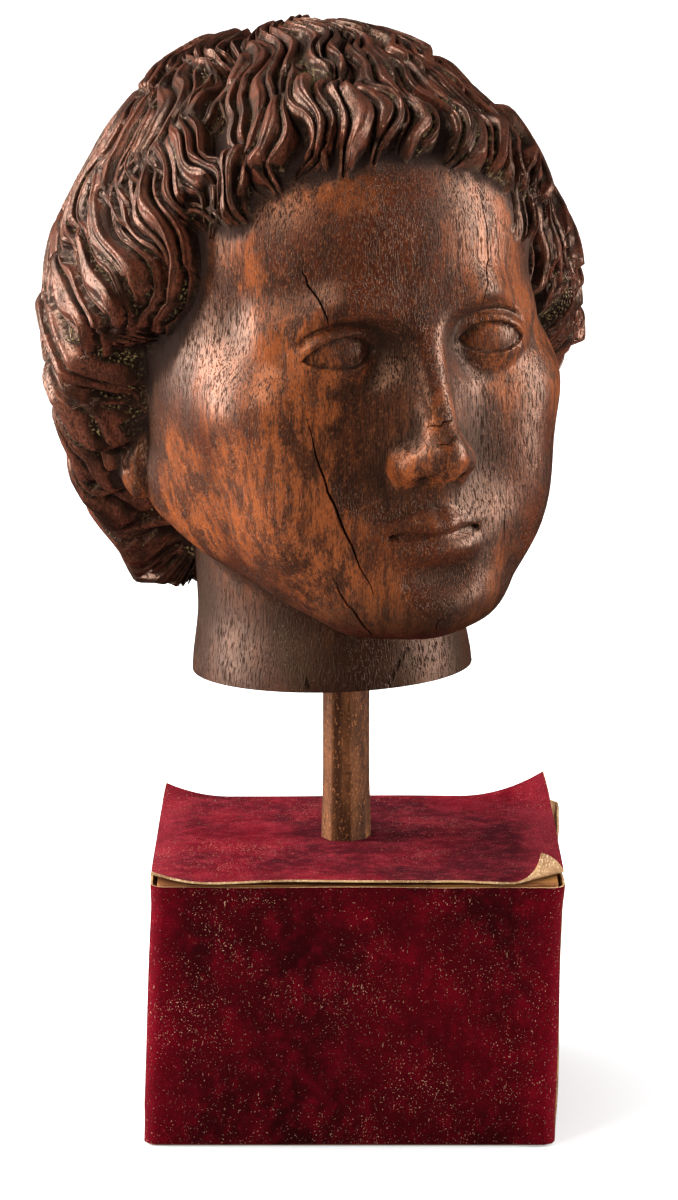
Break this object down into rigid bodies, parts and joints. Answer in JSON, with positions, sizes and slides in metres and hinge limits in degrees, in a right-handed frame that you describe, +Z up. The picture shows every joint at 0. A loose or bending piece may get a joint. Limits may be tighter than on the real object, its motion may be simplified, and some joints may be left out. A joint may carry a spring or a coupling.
{
  "type": "carved wooden head on stand",
  "caption": "Carved walnut head of a saint with waved hair over the ears, on a whittled rod above a velvet-covered wooden block; stands by its own weight as a display sculpture.",
  "frame": {"origin": "centre of the wooden block's flat underside, the face that stands on the table", "axes": "+Z up, from the table towards the crown of the head; -Y out of the block's front face, which the picture faces; +X to the right as the picture is seen"},
  "size_m": [0.1759, 0.1776, 0.353],
  "materials": {
    "head_wood": "old waxed walnut, worn orange-brown on the high parts and near black in the grooves",
    "rod_wood": "mottled brown, knife-cut flats, dull",
    "block_wood": "bare golden-brown wood, dull",
    "side_velvet": "deep crimson velvet with fine dust and lint, pale cut edges",
    "top_velvet": "lighter, rubbed crimson velvet, tan backing"
  },
  "bodies": {
    "root": {"head": "head_wood", "rod": "rod_wood", "block": "block_wood", "velvet_sides": "side_velvet", "velvet_top": "top_velvet"}
  },
  "joints": []
}
